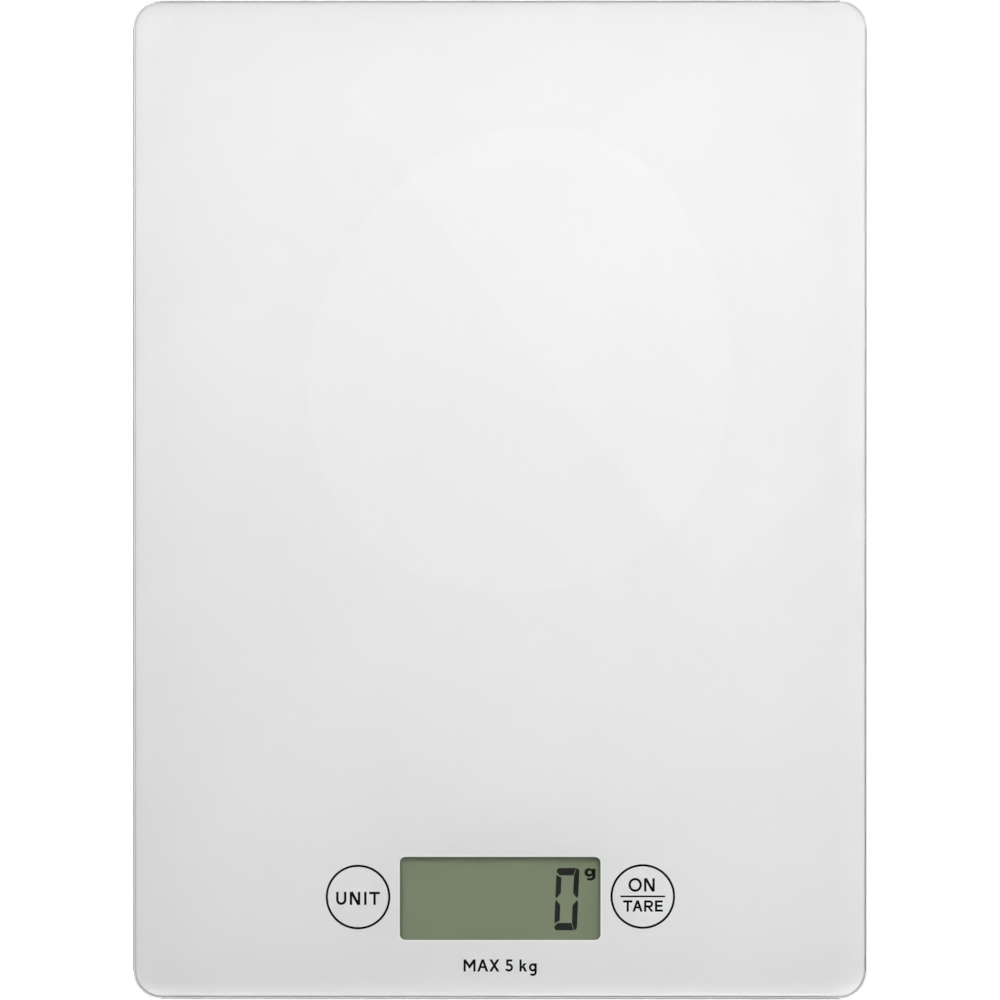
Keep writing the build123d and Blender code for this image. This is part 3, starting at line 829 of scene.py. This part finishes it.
class SCALE_OT_legends(bpy.types.Operator):
    """Print the two key rings, their words and the capacity"""

    bl_idname = "kitchen_scale.legends"
    bl_label = "Legends"

    def execute(self, context):
        ink = settings("scale_print")
        low, high = FILM_HIGH.z - LEGEND_SINK, FILM_HIGH.z + LEGEND_RISE
        material = printed_ink("print_ink", ink.ink)
        circle = arc((0.0, 0.0), (ink.ring_radius, ink.ring_radius), 0.0, 360.0, 128)[:-1]
        ring = ribbon(circle, ink.ring_line, low, high, closed=True)
        rule_outline = bar_outline(-RULE_HALF_LENGTH, RULE_HALF_LENGTH, -RULE_HALF_WIDTH, RULE_HALF_WIDTH)
        unit_marks = [(word("UNIT", low, high), 0.0, -0.30 * MM)]
        tare_marks = [
            (word("ON", low, high), -0.26 * MM, 2.62 * MM),
            (prism(rule_outline, low, high), 0.0, 0.02 * MM),
            (word("TARE", low, high), 0.05 * MM, -2.14 * MM),
        ]
        keys = (("unit", 0.0, -0.20 * MM, unit_marks), ("tare", 0.10 * MM, -0.05 * MM, tare_marks))
        for key, off_x, off_y, marks in keys:
            spring_low, spring_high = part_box(key + "_touch_spring")
            x = (spring_low.x + spring_high.x) / 2 + off_x
            y = (spring_low.y + spring_high.y) / 2 + off_y
            shapes = [ring, *(moved(shape, dx, dy) for shape, dx, dy in marks)]
            legend = add_piece(key + "_legend", moved(joined(shapes), x, y), material)
            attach(legend, "body")
        x, y = (PANEL_LOW.x + PANEL_HIGH.x) / 2, PANEL_LOW.y - CAPACITY_FROM_PANEL
        mark = add_piece("capacity_legend", moved(word("MAX5kg", low, high), x, y), material)
        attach(mark, "body")
        return {"FINISHED"}


def zero_segments(display):
    """The six lit segments of a nought as outlines, counter-clockwise, on a box from the origin. The lower
    half is the upper half mirrored about mid height."""
    h, w = display.digit_height, display.digit_width
    bar, post = display.bar, display.post
    gap = 0.19 * MM
    tip_in, taper, shoulder = 0.25 * MM, 1.2 * MM, 0.60 * MM
    tip = h / 2 + gap
    split_top, split_low = w - 0.72 * MM, w - post - 0.14 * MM
    top = [
        (0.80 * MM, h - bar), (split_low, h - bar), (split_top, h), (0.55 * MM, h),
        (0.22 * MM, h - 0.22 * MM), (0.03 * MM, h - 0.90 * MM),
    ]
    left = [
        (tip_in, tip), (post, tip + taper), (post, h - bar - 0.50 * MM),
        (0.02 * MM, h - bar + 0.10 * MM), (0.0, tip + 0.4 * MM),
    ]
    right = [
        (w - tip_in, tip), (w, tip + shoulder), (w, h - 0.75 * MM),
        (w - 0.16 * MM, h - 0.28 * MM), (split_top + 0.10 * MM, h), (split_low + 0.16 * MM, h - bar),
        (w - post, tip + taper),
    ]
    upper = [np.array(shape) for shape in (top, left, right)]
    lower = [np.stack([shape[::-1, 0], h - shape[::-1, 1]], axis=1) for shape in upper]
    leant = []
    for shape in upper + lower:
        leant.append(np.stack([shape[:, 0] + shape[:, 1] * math.tan(display.lean), shape[:, 1]], axis=1))
    return leant


def gram_sign(low, high):
    """A heavy g on a box from the origin: a bowl that is thicker at its left, a post and a hook."""
    steps = 40
    bowl = arc((1.09 * MM, 1.84 * MM), (0.72 * MM, 0.68 * MM), 0.0, 360.0, steps)[:-1]
    turn = np.radians(np.linspace(0.0, 360.0, steps + 1)[:-1])
    bowl_width = (0.60 - 0.16 * np.cos(turn)) * MM
    post_x = 2.14 * MM
    hook = np.concatenate([
        [(post_x, 2.70 * MM), (post_x, 0.95 * MM)],
        arc((1.30 * MM, 0.95 * MM), (0.84 * MM, 0.66 * MM), -8.0, -140.0, 16),
    ])
    width = np.concatenate([[0.72 * MM, 0.72 * MM], np.linspace(0.70, 0.50, 17) * MM])
    return joined([ribbon(bowl, bowl_width, low, high, closed=True), ribbon(hook, width, low, high)])


class SCALE_OT_display(bpy.types.Operator):
    """Make the display's lit segments and unit sign, and finish its films"""

    bl_idname = "kitchen_scale.display"
    bl_label = "Display"

    def execute(self, context):
        display = settings("scale_display")
        dress("lcd_polarizer", display_film("display_background", display.film))
        low, high = PANEL_HIGH.z - SEGMENT_SINK, PANEL_HIGH.z + SEGMENT_RISE
        ink = printed_ink("display_segment", display.segment)
        segments = joined([prism(outline, low, high) for outline in zero_segments(display)])
        left, base = PANEL_HIGH.x - DIGIT_FROM_RIGHT, PANEL_LOW.y + DIGIT_FROM_FRONT
        right, up = SIGN_FROM_DIGIT
        digit = add_piece("display_digit", moved(segments, left, base), ink)
        sign = add_piece("display_unit", moved(gram_sign(low, high), left + right, base + up), ink)
        for piece in (digit, sign):
            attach(piece, "body")
        return {"FINISHED"}


class SCALE_OT_housing(bpy.types.Operator):
    """Finish the housing, the battery door, the feet and the screws"""

    bl_idname = "kitchen_scale.housing"
    bl_label = "Housing and Feet"

    def execute(self, context):
        housing = settings("scale_housing")
        plastic = moulded_plastic("housing_plastic", housing.plastic)
        door = moulded_plastic("door_plastic", shade(housing.plastic, 0.985), grain=4200.0, depth=0.006)
        rubber = soft_rubber("foot_rubber_grey", housing.rubber)
        zinc = brushed_metal("screw_zinc", (0.62, 0.63, 0.65), (12.0, 12.0, 1.0))
        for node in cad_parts:
            if node in ("upper_frame", "lower_cover") or node.startswith("foot_cap"):
                dress(node, plastic)
            elif node.startswith("foot_pad"):
                dress(node, rubber)
        dress("battery_door", door)
        dress("cover_screws", zinc)
        dress("adhesive_tape", soft_rubber("tape_foam", (0.70, 0.70, 0.68), 5200.0))
        return {"FINISHED"}


class SCALE_OT_inside(bpy.types.Operator):
    """Finish the board, the display's parts, the cell, the load cells and the wires"""

    bl_idname = "kitchen_scale.inside"
    bl_label = "Inner Parts"

    def execute(self, context):
        steel = brushed_metal("cell_can", (0.66, 0.66, 0.65), (1.0, 1.0, 24.0), (0.16, 0.3))
        spring = brushed_metal("contact_nickel", (0.70, 0.68, 0.62))
        stamped = brushed_metal("stamped_plate", (0.56, 0.57, 0.59), (20.0, 1.0, 1.0), (0.3, 0.48))
        finishes = {
            "coin_cell": steel,
            "crystal": steel,
            "battery_contact_positive": spring,
            "battery_contact_negative": spring,
            "battery_lead_positive": satin_piece("lead_red", (0.50, 0.02, 0.015)),
            "battery_lead_negative": satin_piece("lead_black", (0.015, 0.015, 0.015)),
            "main_pcb": circuit_board("board_green"),
            "lcd_panel": satin_piece("display_glass_edge", (0.20, 0.26, 0.20), 300.0, 0.06, (0.05, 0.12), 0.5),
            "lcd_reflector": brushed_metal("display_reflector", (0.45, 0.48, 0.40), (1.0, 24.0, 24.0)),
            "lcd_frame": moulded_plastic("display_frame_grey", (0.10, 0.10, 0.10)),
            "zebra_strip": striped_rubber("zebra_layers"),
            "unit_touch_spring": brushed_metal("spring_copper", (0.72, 0.42, 0.22), (1.0, 1.0, 1.0)),
            "tare_touch_spring": brushed_metal("spring_copper_right", (0.72, 0.42, 0.22), (1.0, 1.0, 1.0)),
            "chip_glob_top": satin_piece("resin_black", (0.012, 0.012, 0.013), 700.0, 0.3, (0.12, 0.25), 0.3),
            "capacitors": satin_piece("capacitor_tan", (0.32, 0.22, 0.13), 2400.0),
            "resistors": satin_piece("resistor_black", (0.02, 0.02, 0.022), 2400.0),
            "solder_joints": brushed_metal("solder_tin", (0.72, 0.72, 0.74), (1.0, 1.0, 1.0), (0.1, 0.28)),
            "strain_gauges": brushed_metal("gauge_foil_lines", (0.62, 0.40, 0.20), (1.0, 60.0, 1.0)),
            "gauge_coatings": satin_piece("coating_white", (0.72, 0.72, 0.70), 500.0, 0.05, (0.3, 0.4), 0.2),
            "pcb_screws": brushed_metal("board_screw_zinc", (0.60, 0.60, 0.60), (12.0, 12.0, 1.0)),
        }
        for node, material in finishes.items():
            dress(node, material)
        wire = satin_piece("wire_red", (0.45, 0.03, 0.03))
        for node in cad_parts:
            if node.startswith("load_cell"):
                dress(node, stamped)
            elif node.startswith("sensor_wires"):
                dress(node, wire)
        return {"FINISHED"}


# ---------------------------------------------------------------- stage


def aimed(obj, place, target, up=(0.0, 1.0, 0.0)):
    """Puts an object at a place and turns its -Z towards the target, with its +Y as near up as it can be."""
    back = (Vector(place) - Vector(target)).normalized()
    side = Vector(up).cross(back).normalized()
    turn = Matrix((side, back.cross(side), back)).transposed()
    obj.matrix_world = Matrix.Translation(place) @ turn.to_4x4()
    bpy.context.collection.objects.link(obj)


def studio_world(overhead, horizon):
    """A room with pale walls and a darker ceiling, which the camera sees as one pale backdrop."""
    world = bpy.data.worlds.new("studio")
    world.use_nodes = True
    tree = world.node_tree
    place = tree.nodes.new("ShaderNodeTexCoord")
    split = tree.nodes.new("ShaderNodeSeparateXYZ")
    tree.links.new(place.outputs["Generated"], split.inputs["Vector"])
    grey = colour_between(tree, split.outputs["Z"], (horizon,) * 3, (overhead,) * 3, 0.0, 0.5)
    lit = tree.nodes["Background"]
    tree.links.new(grey, lit.inputs["Color"])
    backdrop = tree.nodes.new("ShaderNodeBackground")
    backdrop.inputs["Color"].default_value = (0.88, 0.88, 0.88, 1.0)
    ray = tree.nodes.new("ShaderNodeLightPath")
    mix = tree.nodes.new("ShaderNodeMixShader")
    tree.links.new(ray.outputs["Is Camera Ray"], mix.inputs["Fac"])
    tree.links.new(lit.outputs["Background"], mix.inputs[1])
    tree.links.new(backdrop.outputs["Background"], mix.inputs[2])
    tree.links.new(mix.outputs["Shader"], tree.nodes["World Output"].inputs["Surface"])
    return world


def area_light(name, place, target, size, power, shape="SQUARE", up=(0.0, 1.0, 0.0)):
    """A soft box that isn't seen by the camera itself."""
    light = bpy.data.lights.new(name, "AREA")
    light.shape = shape
    light.size = size
    light.energy = power
    lamp = bpy.data.objects.new(name, light)
    aimed(lamp, place, target, up)
    lamp.visible_camera = False
    return lamp


def pale_floor(glow):
    """A pale matt floor with slow clouding, which is only there when seen from above."""
    made, tree, shader = new_material("floor_pale")
    output = next(node for node in tree.nodes if node.type == "OUTPUT_MATERIAL")
    cloud = object_noise(tree, 1.6, 3.0)
    tone = colour_between(tree, cloud, (0.73, 0.73, 0.73), (0.77, 0.77, 0.77))
    tree.links.new(tone, shader.inputs["Base Color"])
    shader.inputs["Roughness"].default_value = 0.9
    shader.inputs["Specular IOR Level"].default_value = 0.1
    shader.inputs["Emission Color"].default_value = (1.0, 1.0, 1.0, 1.0)
    ray = tree.nodes.new("ShaderNodeLightPath")
    seen = tree.nodes.new("ShaderNodeMapRange")
    seen.inputs["To Max"].default_value = glow
    tree.links.new(ray.outputs["Is Camera Ray"], seen.inputs["Value"])
    tree.links.new(seen.outputs["Result"], shader.inputs["Emission Strength"])
    clear = tree.nodes.new("ShaderNodeBsdfTransparent")
    side = tree.nodes.new("ShaderNodeNewGeometry")
    mix = tree.nodes.new("ShaderNodeMixShader")
    tree.links.new(side.outputs["Backfacing"], mix.inputs["Fac"])
    tree.links.new(shader.outputs["BSDF"], mix.inputs[1])
    tree.links.new(clear.outputs["BSDF"], mix.inputs[2])
    tree.links.new(mix.outputs["Shader"], output.inputs["Surface"])
    return made


class SCALE_OT_stage(bpy.types.Operator):
    """Make the floor, the soft light and the camera"""

    bl_idname = "kitchen_scale.stage"
    bl_label = "Stage"

    def execute(self, context):
        stage = settings("scale_stage")
        scene = context.scene
        scene.view_settings.view_transform = "Standard"
        low, high = CAD_BOUNDS
        middle = (low + high) / 2
        target = Vector((middle.x, middle.y, high.z))
        corners = bar_outline(-FLOOR_REACH, FLOOR_REACH, -FLOOR_REACH, FLOOR_REACH)
        floor_points = np.column_stack([corners, np.full(4, low.z - FLOOR_GAP)])
        floor = add_piece("floor", (floor_points, [[0, 1, 2, 3]]), pale_floor(stage.floor_glow))
        scene.world = studio_world(stage.sky, stage.horizon)
        area_light("key", KEY_PLACE, target, KEY_SIZE, stage.key_power)
        area_light("fill", FILL_PLACE, target, FILL_SIZE, stage.fill_power)
        disc, foot = Vector((*ROUND_CARD_AT, ROUND_CARD_HEIGHT)), Vector((*ROUND_CARD_AT, 0.0))
        area_light("round_card", disc, foot, ROUND_CARD_SIZE, stage.card_power, "DISK")
        card = Vector(SQUARE_CARD_EDGE) + SQUARE_CARD_SIZE / 2 * SQUARE_CARD_ACROSS
        below, power = card - Vector((0.0, 0.0, 1.0)), 2 * stage.card_power
        area_light("square_card", card, below, SQUARE_CARD_SIZE, power, up=SQUARE_CARD_ACROSS)
        camera_data = bpy.data.cameras.new("camera")
        camera_data.lens = stage.lens
        camera_data.sensor_width = SENSOR_WIDTH
        camera = bpy.data.objects.new("camera", camera_data)
        distance = stage.view_height * stage.lens / SENSOR_WIDTH
        back = Vector((math.sin(stage.lean_right), math.sin(stage.lean_back), 1.0)).normalized()
        aimed(camera, target + back * distance, target)
        scene.camera = camera
        return {"FINISHED"}


# ---------------------------------------------------------------- panel


class SCALE_PT_panel(bpy.types.Panel):
    """Lists the pieces and the stage"""

    bl_label = "Kitchen Scale"
    bl_idname = "SCALE_PT_panel"
    bl_space_type = "VIEW_3D"
    bl_region_type = "UI"
    bl_category = "Kitchen Scale"

    def draw(self, context):
        for operator in OPERATORS:
            self.layout.operator(operator.bl_idname)
        for name in SETTINGS:
            group = settings(name)
            box = self.layout.box()
            for field in group.bl_rna.properties:
                if not field.is_readonly and field.identifier != "name":
                    box.prop(group, field.identifier)


OPERATORS = (
    SCALE_OT_glass, SCALE_OT_print, SCALE_OT_legends, SCALE_OT_display, SCALE_OT_housing, SCALE_OT_inside,
    SCALE_OT_stage,
)
SETTINGS = {
    "scale_glass": GlassSettings,
    "scale_print": PrintSettings,
    "scale_display": DisplaySettings,
    "scale_housing": HousingSettings,
    "scale_stage": StageSettings,
}


def register():
    """Registers the settings, the operators and the panel."""
    for name, group in SETTINGS.items():
        bpy.utils.register_class(group)
        setattr(bpy.types.Scene, name, PointerProperty(type=group))
    for made in (*OPERATORS, SCALE_PT_panel):
        bpy.utils.register_class(made)


def unregister():
    """Removes what register added, in the opposite order."""
    for made in (SCALE_PT_panel, *reversed(OPERATORS)):
        bpy.utils.unregister_class(made)
    for name, group in SETTINGS.items():
        delattr(bpy.types.Scene, name)
        bpy.utils.unregister_class(group)


def main():
    """Makes every piece and the stage."""
    register()
    bpy.ops.kitchen_scale.stage()
    bpy.ops.kitchen_scale.glass()
    bpy.ops.kitchen_scale.print()
    bpy.ops.kitchen_scale.legends()
    bpy.ops.kitchen_scale.display()
    bpy.ops.kitchen_scale.housing()
    bpy.ops.kitchen_scale.inside()


if __name__ == "__main__":
    main()
